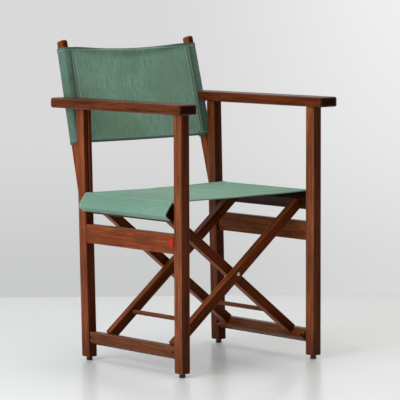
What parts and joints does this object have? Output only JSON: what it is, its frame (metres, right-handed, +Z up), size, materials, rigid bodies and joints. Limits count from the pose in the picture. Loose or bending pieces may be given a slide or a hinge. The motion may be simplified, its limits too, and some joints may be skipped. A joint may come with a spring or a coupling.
{
  "type": "folding director's chair",
  "caption": "Folding director's chair: two reddish hardwood side frames with armrests, crossed legs that scissor sideways, and a green canvas seat and back.",
  "frame": {"origin": "on the floor, under the middle of the bounding box of the open chair", "axes": "+Z up; the sitter faces -Y, so the sitter's right is -X and left is +X; +X across the chair"},
  "size_m": [0.54, 0.5656, 0.8452],
  "materials": {
    "reddish_hardwood": "satin oiled reddish-brown hardwood with straight grain",
    "green_canvas": "matte grey-green cotton canvas, plain weave",
    "brass": "satin",
    "blackened_steel": "dark zinc-plated steel",
    "black_plastic": "moulded matte black nylon",
    "red_tag": "plain woven red tape"
  },
  "bodies": {
    "right_side": {"front_leg_right": "reddish_hardwood", "rear_leg_right": "reddish_hardwood", "upper_rail_right": "reddish_hardwood", "armrest_right": "reddish_hardwood", "back_post_right": "reddish_hardwood", "post_pin_right": "blackened_steel", "arm_dowel_front_right": "reddish_hardwood", "arm_dowel_rear_right": "reddish_hardwood", "glide_front_right": "black_plastic", "glide_rear_right": "black_plastic", "back_sleeve_right": "green_canvas", "pivot_pin_front_right": "blackened_steel", "pivot_pin_rear_right": "blackened_steel", "red_tag": "red_tag", "back_panel": "green_canvas"},
    "cross_to_left": {"cross_leg_front_to_left": "reddish_hardwood", "cross_leg_rear_to_left": "reddish_hardwood", "seat_rail_left": "reddish_hardwood", "lower_rail_right": "reddish_hardwood", "stretcher_right": "reddish_hardwood", "seat_rail_screw_front_left": "blackened_steel", "seat_rail_screw_rear_left": "blackened_steel", "foot_dowel_front_right": "reddish_hardwood", "foot_dowel_rear_right": "reddish_hardwood", "seat_wrap_left": "green_canvas", "cross_dowel_front_right": "blackened_steel", "cross_dowel_rear_right": "blackened_steel", "crossing_bolt_front": "brass", "crossing_bolt_rear": "brass", "crossing_washer_front": "black_plastic", "crossing_washer_rear": "black_plastic", "crossing_nut_front": "brass", "crossing_nut_rear": "brass", "seat_panel": "green_canvas"},
    "cross_to_right": {"cross_leg_front_to_right": "reddish_hardwood", "cross_leg_rear_to_right": "reddish_hardwood", "seat_rail_right": "reddish_hardwood", "lower_rail_left": "reddish_hardwood", "stretcher_left": "reddish_hardwood", "seat_rail_screw_front_right": "blackened_steel", "seat_rail_screw_rear_right": "blackened_steel", "foot_dowel_front_left": "reddish_hardwood", "foot_dowel_rear_left": "reddish_hardwood", "seat_wrap_right": "green_canvas", "cross_dowel_front_left": "blackened_steel", "cross_dowel_rear_left": "blackened_steel"},
    "left_side": {"front_leg_left": "reddish_hardwood", "rear_leg_left": "reddish_hardwood", "upper_rail_left": "reddish_hardwood", "armrest_left": "reddish_hardwood", "back_post_left": "reddish_hardwood", "post_pin_left": "blackened_steel", "arm_dowel_front_left": "reddish_hardwood", "arm_dowel_rear_left": "reddish_hardwood", "glide_front_left": "black_plastic", "glide_rear_left": "black_plastic", "back_sleeve_left": "green_canvas", "pivot_pin_front_left": "blackened_steel", "pivot_pin_rear_left": "blackened_steel"}
  },
  "joints": [
    {"name": "fold", "type": "hinge", "parent": "right_side", "child": "cross_to_left", "pos_m": [-0.2245, -0.0368, 0.0625], "axis": [0, -1, 0], "range_deg": [0, 45], "deforming": ["back_panel"]},
    {"name": "crossing", "type": "hinge", "parent": "cross_to_left", "child": "cross_to_right", "pos_m": [0, -0.0368, 0.241], "axis": [0, -1, 0], "range_deg": [-90, 0], "deforming": ["seat_panel"]},
    {"name": "left_pivot", "type": "hinge", "parent": "cross_to_right", "child": "left_side", "pos_m": [0.2245, -0.0368, 0.0625], "axis": [0, -1, 0], "range_deg": [0, 45]}
  ],
  "couplings": [
    {"joint": "crossing", "follows": "fold", "ratio": -2},
    {"joint": "left_pivot", "follows": "fold", "ratio": 1}
  ]
}
